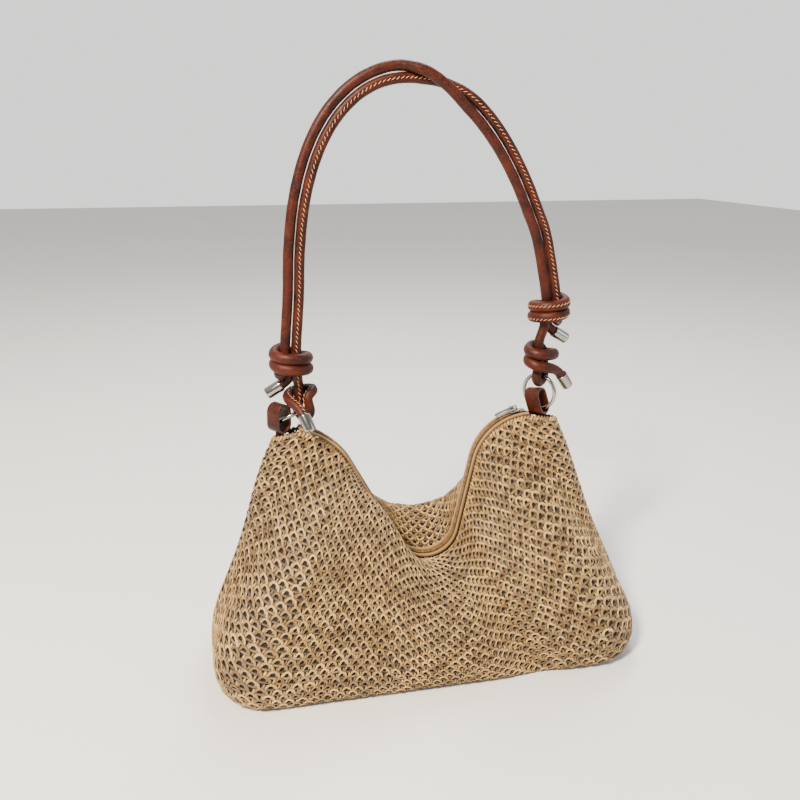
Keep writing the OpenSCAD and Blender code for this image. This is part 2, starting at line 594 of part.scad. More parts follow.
// ---------------------------------------------------------------- end caps
cap_wall = 0.8;
cap_depth = 8;                  // how far a cord goes into its cap
module end_cap(points, at_start) {
    n = len(points);
    tip = points[at_start ? 0 : n - 1];
    d = unit(tip - points[at_start ? 1 : n - 2]);
    color(STEEL) translate(tip - d * cap_depth) rotate([0, acos(d[2]), atan2(d[1], d[0])])
        difference() {
            union() {
                cylinder(d = cord_d + 2 * cap_gap + 2 * cap_wall, h = cap_length - 0.6, $fn = 40);
                cylinder(d = cord_d + 2 * cap_gap + 2 * cap_wall - 1.2, h = cap_length, $fn = 40);
            }
            translate([0, 0, -1]) cylinder(d = cord_d + 2 * cap_gap, h = cap_depth + 1.3, $fn = 40);
        }
}
module cap_upper_left() { end_cap(cord_a_points, true); }
module cap_upper_right() { end_cap(cord_b_points, true); }
module cap_lower_right() { end_cap(cord_a_points, false); }
module cap_lower_left() { end_cap(cord_b_points, false); }

front_panel();
back_panel();
side_seam_tape_left();
side_seam_tape_right();
base_seam_tape();
mouth_binding_front();
mouth_binding_back();
zip_tape_front();
zip_tape_back();
zip_coil_front();
zip_coil_back();
zip_stop_right();
zip_stop_left();
zip_slider();
zip_pull();
tab_left();
tab_right();
ring_left();
ring_right();
cord_sleeve_a();
cord_sleeve_b();
cord_filler_a();
cord_filler_b();
cap_upper_left();
cap_upper_right();
cap_lower_left();
cap_lower_right();
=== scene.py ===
# %% [markdown]
# # A slouchy raffia shoulder bag
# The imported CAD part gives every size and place. This notebook dresses it: an open mesh of paper raffia
# grown by Geometry Nodes and laid on the body's surface, a zip with a real coil, leather tabs, polished
# rings, and a handle of two rolled leather cords with their stitching.

import json
import math
import bmesh
import bpy
import numpy as np
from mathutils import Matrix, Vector


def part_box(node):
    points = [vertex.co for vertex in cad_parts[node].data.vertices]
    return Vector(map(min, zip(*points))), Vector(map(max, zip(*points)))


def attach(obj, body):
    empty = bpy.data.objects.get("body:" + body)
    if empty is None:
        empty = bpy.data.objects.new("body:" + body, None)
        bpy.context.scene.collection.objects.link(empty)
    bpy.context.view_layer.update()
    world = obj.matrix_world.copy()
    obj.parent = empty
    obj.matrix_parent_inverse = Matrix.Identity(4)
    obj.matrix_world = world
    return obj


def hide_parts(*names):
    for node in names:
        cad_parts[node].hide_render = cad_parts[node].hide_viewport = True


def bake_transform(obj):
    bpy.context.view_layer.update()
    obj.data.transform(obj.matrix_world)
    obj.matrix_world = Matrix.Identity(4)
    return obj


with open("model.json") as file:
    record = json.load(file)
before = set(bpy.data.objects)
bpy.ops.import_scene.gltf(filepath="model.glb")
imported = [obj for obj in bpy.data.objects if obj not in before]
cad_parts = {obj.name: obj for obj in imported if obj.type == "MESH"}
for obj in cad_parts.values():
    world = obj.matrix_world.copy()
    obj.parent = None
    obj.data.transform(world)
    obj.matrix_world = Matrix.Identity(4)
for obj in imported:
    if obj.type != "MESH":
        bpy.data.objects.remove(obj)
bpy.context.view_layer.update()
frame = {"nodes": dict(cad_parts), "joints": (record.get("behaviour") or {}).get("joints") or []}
nodes = frame["nodes"]
joints = {j["name"]: j for j in frame["joints"]}
MM = 0.001

# %% [markdown]
# ## Camera
# It stands in front of the bag, a little to the left of it and above, and looks down at the mesh.

# %% Camera
camera = bpy.data.objects.new("camera", bpy.data.cameras.new("camera"))
bpy.context.scene.collection.objects.link(camera)
camera.location = (-0.1648, -0.6665, 0.4734)
camera.rotation_euler = (math.radians(72.2), 0, math.radians(-12))
camera.data.lens = 36
camera.data.sensor_width = 36
bpy.context.scene.camera = camera
print("camera at", tuple(camera.location))

# %% [markdown]
# ## The body's surface
# The same curves as the CAD part's, so that the mesh lies on the solid: the zip's path over the hump,
# through the valley and up to the left corner, then one spline per column from the base to the mouth.

# %% Sizes of the body, in millimetres
HALF_L, HALF_D, CORNER_R = 187.0, 71.0, 34.0
PEAK_X, PEAK_Z, MOUTH_Y, MOUTH_SHIFT = 133.0, 222.0, 20.0, 4.0
ZIP_LOW, ZIP_RISE, END_GAP = 88.0, 6.0, 24.0
HUMP_R, VALLEY_R, EDGE_Y, TAPE_T, BELLY = 54.0, 31.0, 8.5, 0.8, 22.0
STEEP, GENTLE, SHOULDER = np.radians([78.0, 62.0, 15.0])
END_X, END_Z = PEAK_X - END_GAP, PEAK_Z + ZIP_RISE
RIM_DROP = TAPE_T / 2 + 1
SEAM = 0.15
CREASE_DEPTH, CREASE_WIDTH = 13, 19
PANEL_NAMES = {-1: "front", 1: "back"}


def unit(v):
    """Each vector at length 1."""
    v = np.asarray(v, float)
    return v / np.maximum(np.linalg.norm(v, axis=-1, keepdims=True), 1e-12)


def lerp(a, b, t):
    return a + (b - a) * t


# %% The zip's path
curve_sum = HUMP_R + VALLEY_R
drop_fall = (END_Z - ZIP_LOW - curve_sum * (1 - math.cos(STEEP))) / math.sin(STEEP)
low_x = END_X - curve_sum * math.sin(STEEP) - drop_fall * math.cos(STEEP)
left_rise = END_Z - ZIP_LOW - VALLEY_R * (1 - math.cos(GENTLE))
left_run = low_x + END_X - VALLEY_R * math.sin(GENTLE)
turn_run = math.sin(GENTLE) - math.sin(SHOULDER)
turn_rise = math.cos(SHOULDER) - math.cos(GENTLE)
left_r = left_run * math.sin(GENTLE) - left_rise * math.cos(GENTLE)
left_r /= turn_run * math.sin(GENTLE) - turn_rise * math.cos(GENTLE)
left_line = (left_rise - left_r * turn_rise) / math.sin(GENTLE)
lengths = [STEEP * HUMP_R, drop_fall, (STEEP + GENTLE) * VALLEY_R, left_line, (GENTLE - SHOULDER) * left_r]
marks = np.cumsum(lengths)
zip_length = marks[-1]


def zip_at(d):
    """x, z and heading at a distance d from the zip's right end."""
    if d <= marks[0]:
        a = d / HUMP_R
        return END_X - HUMP_R * math.sin(a), END_Z - HUMP_R + HUMP_R * math.cos(a), math.pi + a
    if d <= marks[1]:
        x, z, h = zip_at(marks[0])
        run = d - marks[0]
        return x - run * math.cos(STEEP), z - run * math.sin(STEEP), math.pi + STEEP
    if d <= marks[2]:
        a = STEEP - (d - marks[1]) / VALLEY_R
        return low_x + VALLEY_R * math.sin(a), ZIP_LOW + VALLEY_R * (1 - math.cos(a)), math.pi + a
    if d <= marks[3]:
        x, z, h = zip_at(marks[2])
        run = d - marks[2]
        return x - run * math.cos(GENTLE), z + run * math.sin(GENTLE), math.pi - GENTLE
    x, z, h = zip_at(marks[3])
    a = GENTLE - (d - marks[3]) / left_r
    return (x - left_r * (math.sin(GENTLE) - math.sin(a)), z + left_r * (math.cos(a) - math.cos(GENTLE)),
            math.pi - a)


def beside_zip(d, y, up):
    """A point y to the side of the zip's middle line and that far above it."""
    x, z, h = zip_at(d)
    return np.array([x - MOUTH_SHIFT + up * math.sin(h), MOUTH_Y + y, z - up * math.cos(h)])


print("zip length", round(zip_length, 1), "mm, lowest at x", round(low_x - MOUTH_SHIFT, 1))

# %% The base's outline and the mouth's edge
end_run = math.hypot(END_GAP, EDGE_Y)
rim_length = zip_length + 2 * end_run
side_flat = HALF_D - CORNER_R
corner_run = CORNER_R * math.pi / 2
foot_length = 2 * side_flat + 2 * corner_run + 2 * HALF_L - 2 * CORNER_R


def foot_half(d):
    """x, y and the outward direction, at a distance d round the left half of the base."""
    if d <= side_flat:
        return np.array([-HALF_L, d, -1, 0])
    if d <= side_flat + corner_run:
        a = (d - side_flat) / CORNER_R
        return np.array([-HALF_L + CORNER_R * (1 - math.cos(a)), side_flat + CORNER_R * math.sin(a),
                         -math.cos(a), math.sin(a)])
    return np.array([-HALF_L + CORNER_R + d - side_flat - corner_run, HALF_D, 0, 1])


def foot(s):
    d = s * foot_length
    if d <= foot_length / 2:
        return foot_half(d)
    return foot_half(foot_length - d) * [-1, 1, -1, 1]


def rim_end(a, out):
    return np.array([PEAK_X + out - (END_GAP + out) * (1 - math.cos(a)), EDGE_Y * math.sin(a),
                     PEAK_Z - RIM_DROP + ZIP_RISE * (1 - math.cos(a))])


def rim(s):
    """A point of the mouth's edge, at a share s from left to right."""
    d = s * rim_length
    if d < end_run:
        q = rim_end(math.pi / 2 * d / end_run, 0)
        return np.array([-q[0] - MOUTH_SHIFT, q[1], q[2]])
    if d > rim_length - end_run:
        q = rim_end(math.pi / 2 * (rim_length - d) / end_run, 7)
        return np.array([q[0] - MOUTH_SHIFT, q[1], q[2]])
    p = beside_zip(rim_length - end_run - d, 0, -RIM_DROP)
    return np.array([p[0], EDGE_Y, p[2]])


# %% The walls: one spline per column
def column_knots(s, side):
    """The spline's knots from the base's middle line up to the mouth, at a share s from left to right."""
    f, r = foot(s), rim(s)
    sag = np.clip((END_Z - r[2]) / (END_Z - ZIP_LOW), 0, 1)
    lobe = math.exp(-((r[0] + 40) / 30) ** 2) if side < 0 else 0.9 * sag
    y0 = side * max(f[1], SEAM)
    y1 = MOUTH_Y + side * max(r[1], SEAM)
    out_x, out_y = f[2], side * f[3]
    flat_x = lerp(-HALF_L, HALF_L, s)
    edge = np.clip(r[1] / EDGE_Y, 0, 1)
    return [
        [flat_x, side * SEAM, 0],
        [lerp(flat_x, f[0], 0.4), y0 * 0.4, 0],
        [lerp(flat_x, f[0], 0.85), y0 * 0.85, 0],
        [f[0] + 6 * out_x, y0 + 6 * out_y, 0],
        [f[0] + (BELLY - 4) * out_x, y0 + 0.6 * BELLY * out_y, 26],
        [lerp(f[0], r[0], 0.16) + BELLY * out_x, lerp(y0, y1, 0.16) + BELLY * 0.8 * out_y, 62 - 10 * sag],
        [lerp(f[0], r[0], 0.5) + BELLY * 0.45 * out_x, lerp(y0, y1, 0.44 - 0.14 * sag)
         + BELLY * 0.75 * out_y, 0.54 * r[2] + 24 * sag + 22 * lobe],
        [lerp(f[0], r[0], 0.86) + 9 * out_x, y1 + side * (9 + 32 * sag) * edge,
         lerp(r[2] - 36, r[2] + 8, sag) + 46 * lobe],
        [r[0], y1, r[2]],
    ]


def spline(knots, steps):
    q = np.concatenate([[knots[0]] * 2, knots, [knots[-1]] * 2])
    t = np.linspace(0, len(q) - 3, steps + 1)
    i = np.minimum(len(q) - 4, t.astype(int))
    f = (t - i)[:, None]
    return ((1 - f) ** 3 * q[i] + (3 * f**3 - 6 * f**2 + 4) * q[i + 1]
            + (-3 * f**3 + 3 * f**2 + 3 * f + 1) * q[i + 2] + f**3 * q[i + 3]) / 6


def dented(p):
    """The soft crease that runs from the valley down to the right, in front."""
    top, bottom = np.array([30.0, 100.0]), np.array([96.0, 10.0])
    along = bottom - top
    xz = p[:, [0, 2]]
    t = np.clip(((xz - top) @ along) / (along @ along), 0, 1)
    off = np.linalg.norm(xz - top - t[:, None] * along, axis=1)
    depth = CREASE_DEPTH * np.exp(-((off / CREASE_WIDTH) ** 2))
    depth *= np.clip((MOUTH_Y - EDGE_Y - 4 - p[:, 1]) / 24, 0, 1) * np.clip(p[:, 2] / 14, 0, 1)
    return p + np.stack([0 * depth, depth, -0.5 * depth], 1)


def surface(side, columns=110, rows=64):
    """Points of one panel's outside, and the outward direction at each."""
    grid = np.zeros((columns + 1, rows + 1, 3))
    for i in range(columns + 1):
        p = spline(np.array(column_knots(i / columns, side)), 120)
        if side < 0:
            p = dented(p)
        run = np.concatenate([[0], np.cumsum(np.linalg.norm(np.diff(p, axis=0), axis=1))])
        at = np.linspace(0, run[-1], rows + 1)
        grid[i] = np.stack([np.interp(at, run, p[:, k]) for k in range(3)], 1)
    out = unit(np.cross(np.gradient(grid, axis=0), np.gradient(grid, axis=1))) * -side
    return grid, out


def on_surface(skin, u, v, height):
    """Points at shares u and v of a panel, that far out of it."""
    grid, out = skin
    fu = np.clip(u, 0, 1) * (grid.shape[0] - 1)
    fv = np.clip(v, 0, 1) * (grid.shape[1] - 1)
    i = np.minimum(fu.astype(int), grid.shape[0] - 2)
    j = np.minimum(fv.astype(int), grid.shape[1] - 2)
    a, b = (fu - i)[:, None], (fv - j)[:, None]

    def blend(g):
        return (g[i, j] * (1 - a) * (1 - b) + g[i + 1, j] * a * (1 - b)
                + g[i, j + 1] * (1 - a) * b + g[i + 1, j + 1] * a * b)

    return blend(grid) + unit(blend(out)) * np.asarray(height)[:, None]


skins = {side: surface(side) for side in PANEL_NAMES}
for side, name in PANEL_NAMES.items():
    grid = skins[side][0]
    box_low, box_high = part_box(name + "_panel")
    print(name, grid.min((0, 1)).round(1), grid.max((0, 1)).round(1), "solid",
          [round(x / MM, 1) for x in (*box_low, *box_high)])

# %% [markdown]
# ## Making meshes, nodes and colours
# One function makes a plain mesh from points in millimetres, one makes a tube along a path, and one adds
# a node to any tree. Colours are written as sRGB hex and turned into linear light in one place.


# %% Meshes and tubes
def place(obj, body):
    """Links an object, riding on a body if one is named."""
    if obj.name not in bpy.context.scene.collection.objects:
        bpy.context.scene.collection.objects.link(obj)
    if body:
        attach(obj, body)
    return obj


def make(name, points, faces, material=None, body=None):
    """A smooth mesh object from points in millimetres."""
    mesh = bpy.data.meshes.new(name)
    mesh.from_pydata((np.asarray(points, float) * MM).tolist(), [], faces)
    mesh.polygons.foreach_set("use_smooth", [True] * len(mesh.polygons))
    mesh.update()
    if material:
        mesh.materials.append(material)
    return place(bpy.data.objects.new(name, mesh), body)


def tube_faces(count, sides):
    """Faces of a closed tube of that many rings of points."""
    faces = [(i * sides + k, i * sides + (k + 1) % sides, (i + 1) * sides + (k + 1) % sides,
              (i + 1) * sides + k) for i in range(count - 1) for k in range(sides)]
    last = (count - 1) * sides
    return faces + [tuple(range(sides - 1, -1, -1)), tuple(last + k for k in range(sides))]


def tube(path, width_way, half_w, half_t, sides=4):
    """Points and faces of a closed tube; width_way is the direction of its width."""
    path = np.asarray(path, float)
    t = unit(np.gradient(path, axis=0))
    way = np.broadcast_to(np.asarray(width_way, float), path.shape)
    n = unit(way - (way * t).sum(1, keepdims=True) * t)
    b = np.cross(t, n)
    a = np.arange(sides) * 2 * math.pi / sides
    half_w, half_t = (np.broadcast_to(np.asarray(h, float), (len(path),)) for h in (half_w, half_t))
    ring = (n[:, None] * (half_w[:, None] * np.cos(a))[..., None]
            + b[:, None] * (half_t[:, None] * np.sin(a))[..., None])
    return (path[:, None] + ring).reshape(-1, 3), tube_faces(len(path), sides)


def together(parts):
    """Several (points, faces) as one."""
    points, faces, count = [], [], 0
    for p, f in parts:
        points.append(p)
        faces += [tuple(i + count for i in face) for face in f]
        count += len(p)
    return np.concatenate(points), faces


def turned(profile, steps=48, closed=False):
    """Points and faces of a profile of (radius, height) turned round Z."""
    a = np.arange(steps) * 2 * math.pi / steps
    p = np.asarray(profile, float)
    points = np.stack([p[:, None, 0] * np.cos(a), p[:, None, 0] * np.sin(a),
                       np.broadcast_to(p[:, None, 1], (len(p), steps))], -1).reshape(-1, 3)
    rows = len(p) if closed else len(p) - 1
    faces = [(i * steps + k, i * steps + (k + 1) % steps, (i + 1) % len(p) * steps + (k + 1) % steps,
              (i + 1) % len(p) * steps + k) for i in range(rows) for k in range(steps)]
    return points, faces


def facing_out(obj):
    """Turns every face of a closed mesh outward."""
    work = bmesh.new()
    work.from_mesh(obj.data)
    bmesh.ops.recalc_face_normals(work, faces=work.faces)
    work.to_mesh(obj.data)
    work.free()
    return obj


# %% Nodes and colours
def add(tree, kind, settings=None, **values):
    """One node: settings are its properties; values are its inputs, _0 for the first one, as numbers or
    as sockets to link."""
    node = tree.nodes.new(kind)
    for key, value in (settings or {}).items():
        setattr(node, key, value)
    for key, value in values.items():
        socket = node.inputs[int(key[1:]) if key[0] == "_" else key.replace("_", " ")]
        if isinstance(value, bpy.types.NodeSocket):
            tree.links.new(value, socket)
        else:
            socket.default_value = value
    return node


def math_node(tree, kind, a, b=0.0):
    return add(tree, "ShaderNodeMath", {"operation": kind}, _0=a, _1=b).outputs[0]


def rgb(code):
    """sRGB hex as linear RGBA."""
    c = np.array([int(code[i:i + 2], 16) for i in (1, 3, 5)]) / 255
    return (*np.where(c <= 0.04045, c / 12.92, ((c + 0.055) / 1.055) ** 2.4), 1.0)


class Look:
    """A procedural material around one Principled shader, whose textures read Object coordinates."""

    def __init__(self, name, **shader):
        self.material = bpy.data.materials.new(name)
        self.material.use_nodes = True
        self.tree = self.material.node_tree
        self.tree.nodes.clear()
        self.shader = add(self.tree, "ShaderNodeBsdfPrincipled", **shader)
        add(self.tree, "ShaderNodeOutputMaterial", Surface=self.shader.outputs[0])
        self.place = add(self.tree, "ShaderNodeTexCoord").outputs["Object"]

    def noise(self, size, detail=2.0, stretch=(1, 1, 1)):
        """Noise with features of that size in millimetres."""
        moved = add(self.tree, "ShaderNodeVectorMath", {"operation": "MULTIPLY"}, _0=self.place, _1=stretch)
        return add(self.tree, "ShaderNodeTexNoise", Vector=moved.outputs[0], Scale=1 / (size * MM),
                   Detail=detail, Roughness=0.55).outputs["Fac"]

    def pores(self, size):
        return add(self.tree, "ShaderNodeTexVoronoi", Vector=self.place, Scale=1 / (size * MM)).outputs[0]

    def value(self, name):
        return add(self.tree, "ShaderNodeAttribute", {"attribute_name": name}).outputs["Fac"]

    def calc(self, kind, a, b=0.0):
        return math_node(self.tree, kind, a, b)

    def between(self, fac, a0, a1, b0, b1):
        """fac from a0..a1 to b0..b1, held at the ends."""
        return add(self.tree, "ShaderNodeMapRange", _0=fac, _1=a0, _2=a1, _3=b0, _4=b1).outputs[0]

    def mix(self, fac, a, b):
        """Two colours, each as hex or as a socket."""
        a, b = (rgb(c) if isinstance(c, str) else c for c in (a, b))
        return add(self.tree, "ShaderNodeMix", {"data_type": "RGBA"}, _0=fac, _6=a, _7=b).outputs[2]

    def finish(self, color=None, roughness=None, bump=(), strength=0.5):
        """bump is a list of (height field, its depth in millimetres)."""
        if color:
            self.tree.links.new(color, self.shader.inputs["Base Color"])
        if roughness:
            self.tree.links.new(roughness, self.shader.inputs["Roughness"])
        normal = None
        for height, depth in bump:
            values = {"Height": height, "Distance": depth * MM, "Strength": strength}
            if normal:
                values["Normal"] = normal
            normal = add(self.tree, "ShaderNodeBump", **values).outputs[0]
        if normal:
            self.tree.links.new(normal, self.shader.inputs["Normal"])
        return self.material


# %% [markdown]
# ## Materials
# Each is named for what it is and how it was made, with the visible effect beside it.


# %% Raffia: paper twisted into flat straw, knitted dry
# dry paper fibre: matt, with a faint satin along each strand; strands differ in tone as dyed hanks do
look = Look("raffia_paper_twisted_and_knitted", Roughness=0.5)
look.shader.inputs["Sheen Weight"].default_value = 0.15
tone = look.mix(look.value("tone"), "#6c4a18", "#deb56a")
patch = look.noise(45, 2)
tone = look.mix(look.between(patch, 0.35, 0.7, 0.0, 0.4), tone, "#66451b")
fibre = look.noise(0.9, 3, (1, 1, 2.2))
tone = look.mix(look.between(fibre, 0.3, 0.75, 0.4, 0.0), tone, "#3a260d")
# painted shade: the undersides between the loops, deep in the mesh, are darkened towards near black
tone = look.mix(look.between(look.value("deep"), 0.18, 0.72, 0.0, 0.94), tone, "#160b04")
raffia = look.finish(tone, look.between(fibre, 0.3, 0.7, 0.55, 0.36), [(fibre, 0.25)], 0.6)

# %% Cotton: facing and seam tapes, plain woven
# a fine over-and-under grain that blurs into a soft matt cloth
look = Look("cotton_tape_plain_woven", Roughness=0.85)
look.shader.inputs["Sheen Weight"].default_value = 0.3
warp = add(look.tree, "ShaderNodeTexWave", {"bands_direction": "DIAGONAL"}, Vector=look.place,
           Scale=1 / (2.2 * MM), Distortion=1.5).outputs["Fac"]
grain = look.noise(0.5, 2)
cloth = look.mix(look.noise(14, 2), "#6f4f24", "#8d6a36")
cloth = look.mix(look.between(grain, 0.3, 0.7, 0.3, 0.0), cloth, "#7a5a31")
facing_cloth = look.finish(cloth, None, [(warp, 0.12), (grain, 0.15)], 0.6)

# %% Lining: cotton, plain woven, coloured nearly black as painted shade
# matt and even; its near-black colour is painted shade for the bag's shaded inside, so every hole of the mesh
# reads as the same deep brown
look = Look("cotton_lining_painted_shade", Roughness=0.9)
cloth = look.mix(look.noise(1.2, 2), "#120903", "#1e1007")
lining_painted_shade = look.finish(cloth, None, [(look.noise(0.6), 0.1)])

# %% Zip tape: ribbed polyester, with the coil's stitching as two dark lines
look = Look("polyester_zip_tape_ribbed", Roughness=0.7)
y = add(look.tree, "ShaderNodeSeparateXYZ", _0=look.place).outputs["Y"]
aside = look.calc("ABSOLUTE", look.calc("SUBTRACT", y, MOUTH_Y * MM))
line = look.calc("MULTIPLY", look.calc("GREATER_THAN", aside, 2.7 * MM),
                 look.calc("LESS_THAN", aside, 3.6 * MM))
ribs = look.noise(0.45, 2, (1, 2.5, 1))
tape = look.mix(look.between(ribs, 0.3, 0.7, 0.35, 0.0), "#644620", "#36250e")
tape = look.mix(look.calc("MULTIPLY", line, 0.75), tape, "#33220f")
tape_cloth = look.finish(tape, None, [(ribs, 0.15)], 0.6)

# %% Coil: extruded nylon, dyed with the tape
# smooth and slightly glossy on each turn
look = Look("nylon_coil_extruded", Roughness=0.38)
coil = look.finish(look.mix(look.value("tone"), "#664820", "#916b36"), None, [(look.noise(0.6), 0.05)])


# %% Leather: vegetable tanned, waxed, rolled into cords and cut into straps
# fine pores and crossing wrinkles break the shine; handling has lightened the high spots
def leather_look(name, dark, light, worn):
    look = Look(name, Roughness=0.42)
    look.shader.inputs["Specular IOR Level"].default_value = 0.2
    cloud = look.noise(16, 3)
    color = look.mix(look.between(cloud, 0.3, 0.7, 0, 1), dark, light)
    wrinkle = look.noise(2.4, 4)
    color = look.mix(look.between(wrinkle, 0.52, 0.78, 0.0, 0.55), color, worn)
    pore = look.pores(0.9)
    color = look.mix(look.between(pore, 0.0, 0.35, 0.35, 0.0), color, "#2c150c")
    rough = look.between(wrinkle, 0.3, 0.7, 0.4, 0.6)
    return look.finish(color, rough, [(wrinkle, 0.3), (pore, 0.12)], 0.5)


leather = leather_look("leather_waxed_rolled", "#1b0602", "#431506", "#5f250c")
strap_leather = leather_look("leather_waxed_cut_strap", "#1c0703", "#421606", "#5c260d")

# %% Cut edges of the straps: rubbed smooth
# darker and shinier than the faces
look = Look("leather_edge_burnished", Roughness=0.35)
edge_tone = look.mix(look.noise(3), "#24110a", "#3f2013")
edge_leather = look.finish(edge_tone, None, [(look.noise(1.0), 0.1)])

# %% Thread: waxed cotton, twisted
# light against the leather, with the ply showing as a fine change of tone
look = Look("cotton_thread_waxed", Roughness=0.6)
twist = look.noise(0.4, 1)
thread = look.finish(look.mix(twist, "#a0714a", "#d0a67c"), None, [(twist, 0.08)])

# %% Nickel: plated and polished
# near mirror, with hairline scratches that stretch the highlights a little
look = Look("nickel_plated_polished", Metallic=1.0, Roughness=0.14)
hair = look.noise(0.7, 2, (1, 6, 1))
metal = look.mix(look.noise(9), "#83817c", "#a3a19b")
nickel = look.finish(metal, look.between(hair, 0.3, 0.7, 0.09, 0.22), [(look.noise(6), 0.02)], 0.3)
print("materials", len(bpy.data.materials))

# %% [markdown]
# ## Geometry Nodes that place what repeats
# `lattice` sets loops of raffia in rows like bricks. `along` sets one small piece after another along a
# path: coil teeth and stitches. Both end as real mesh, and both have their seed as an input.


# %% A new tree with named inputs
def new_tree(name, inputs):
    tree = bpy.data.node_groups.new(name, "GeometryNodeTree")
    tree.interface.new_socket("Geometry", in_out="INPUT", socket_type="NodeSocketGeometry")
    tree.interface.new_socket("Geometry", in_out="OUTPUT", socket_type="NodeSocketGeometry")
    for label, kind in inputs:
        tree.interface.new_socket(label, in_out="INPUT", socket_type="NodeSocket" + kind)
    return tree, add(tree, "NodeGroupInput").outputs


def random(tree, low, high, seed, draw=0, kind="FLOAT"):
    """A random value per point; a vector's inputs come first, then a number's."""
    first = 0 if kind == "FLOAT_VECTOR" else 2
    if draw:
        seed = math_node(tree, "ADD", seed, float(draw))
    node = add(tree, "FunctionNodeRandomValue", {"data_type": kind}, Seed=seed,
               **{"_%d" % first: low, "_%d" % (first + 1): high})
    return node.outputs[0 if kind == "FLOAT_VECTOR" else 1]


def end_tree(tree, instances, tone, material):
    """Names each instance's tone, then makes real mesh of them all."""
    named = add(tree, "GeometryNodeStoreNamedAttribute", {"data_type": "FLOAT", "domain": "INSTANCE"},
                Geometry=instances, Name="tone", Value=tone)
    real = add(tree, "GeometryNodeRealizeInstances", Geometry=named.outputs[0])
    painted = add(tree, "GeometryNodeSetMaterial", Geometry=real.outputs[0], Material=material)
    add(tree, "NodeGroupOutput", _0=painted.outputs[0])


# %% Rows of loops
lattice, inp = new_tree("lattice", [("Across", "Int"), ("Up", "Int"), ("Pitch", "Float"), ("Row", "Float"),
                                    ("Wobble", "Float"), ("Seed", "Int"), ("Loop", "Object"),
                                    ("Material", "Material")])
span_x = math_node(lattice, "MULTIPLY", math_node(lattice, "SUBTRACT", inp["Across"], 1.0), inp["Pitch"])
span_y = math_node(lattice, "MULTIPLY", math_node(lattice, "SUBTRACT", inp["Up"], 1.0), inp["Row"])
points = add(lattice, "GeometryNodeMeshGrid", Size_X=span_x, Size_Y=span_y, Vertices_X=inp["Across"],
             Vertices_Y=inp["Up"]).outputs[0]
index = add(lattice, "GeometryNodeInputIndex").outputs[0]
odd = math_node(lattice, "MODULO", math_node(lattice, "MODULO", index, inp["Up"]), 2.0)
half_pitch = math_node(lattice, "MULTIPLY", inp["Pitch"], 0.5)
shift = add(lattice, "ShaderNodeCombineXYZ", X=math_node(lattice, "MULTIPLY", odd, half_pitch)).outputs[0]
shaken = add(lattice, "ShaderNodeVectorMath", {"operation": "SCALE"},
             _0=random(lattice, (-1, -1, -0.35), (1, 1, 0.35), inp["Seed"], kind="FLOAT_VECTOR"),
             Scale=inp["Wobble"]).outputs[0]
offset = add(lattice, "ShaderNodeVectorMath", {"operation": "ADD"}, _0=shift, _1=shaken).outputs[0]
moved = add(lattice, "GeometryNodeSetPosition", Geometry=points, Offset=offset).outputs[0]
turn = add(lattice, "ShaderNodeCombineXYZ", Z=random(lattice, -0.09, 0.09, inp["Seed"], 1)).outputs[0]
size = random(lattice, 0.94, 1.07, inp["Seed"], 2)
loop = add(lattice, "GeometryNodeObjectInfo", Object=inp["Loop"]).outputs["Geometry"]
rows = add(lattice, "GeometryNodeInstanceOnPoints", Points=moved, Instance=loop, Rotation=turn, Scale=size)
end_tree(lattice, rows.outputs[0], random(lattice, 0.0, 1.0, inp["Seed"], 3), inp["Material"])

# %% Pieces along a path
along, inp = new_tree("along", [("Spacing", "Float"), ("Wobble", "Float"), ("Seed", "Int"),
                                ("Piece", "Object"), ("Material", "Material")])
curve = add(along, "GeometryNodeMeshToCurve", _0=inp["Geometry"]).outputs[0]
even = add(along, "GeometryNodeResampleCurve", Curve=curve)
if "Mode" in even.inputs:
    even.inputs["Mode"].default_value = "Length"
else:
    even.mode = "LENGTH"
along.links.new(inp["Spacing"], even.inputs["Length"])
tangent = add(along, "GeometryNodeInputTangent").outputs[0]
up_way = add(along, "GeometryNodeInputNamedAttribute", {"data_type": "FLOAT_VECTOR"}, Name="up").outputs[0]
forward = add(along, "FunctionNodeAlignRotationToVector", {"axis": "X"}, Vector=tangent).outputs[0]
upright = add(along, "FunctionNodeAlignRotationToVector", {"axis": "Z", "pivot_axis": "X"},
              Rotation=forward, Vector=up_way).outputs[0]
jolt = add(along, "ShaderNodeCombineXYZ", Z=random(along, -1.0, 1.0, inp["Seed"])).outputs[0]
jolt = add(along, "ShaderNodeVectorMath", {"operation": "SCALE"}, _0=jolt, Scale=inp["Wobble"]).outputs[0]
skewed = add(along, "FunctionNodeRotateRotation", {"rotation_space": "LOCAL"}, _0=upright, _1=jolt)
piece = add(along, "GeometryNodeObjectInfo", Object=inp["Piece"]).outputs["Geometry"]
row = add(along, "GeometryNodeInstanceOnPoints", Points=even.outputs[0], Instance=piece,
          Rotation=skewed.outputs[0])
end_tree(along, row.outputs[0], random(along, 0.0, 1.0, inp["Seed"], 1), inp["Material"])


# %% Running a tree and keeping its mesh
def grow(name, tree, base, **settings):
    """Runs a tree on a base mesh and keeps the result as a plain mesh; settings go to its named inputs."""
    obj = place(bpy.data.objects.new(name, base), None)
    modifier = obj.modifiers.new("grow", "NODES")
    modifier.node_group = tree
    for item in tree.interface.items_tree:
        if item.in_out == "INPUT" and item.name in settings:
            modifier[item.identifier] = settings[item.name]
    obj.update_tag()
    mesh = bpy.data.meshes.new_from_object(obj.evaluated_get(bpy.context.evaluated_depsgraph_get()))
    obj.modifiers.remove(modifier)
    obj.data = mesh
    mesh.polygons.foreach_set("use_smooth", [True] * len(mesh.polygons))
    return obj


def joined(obj, others):
    """Takes the meshes of the others into obj."""
    with bpy.context.temp_override(active_object=obj, selected_editable_objects=[obj, *others]):
        bpy.ops.object.join()
    return obj


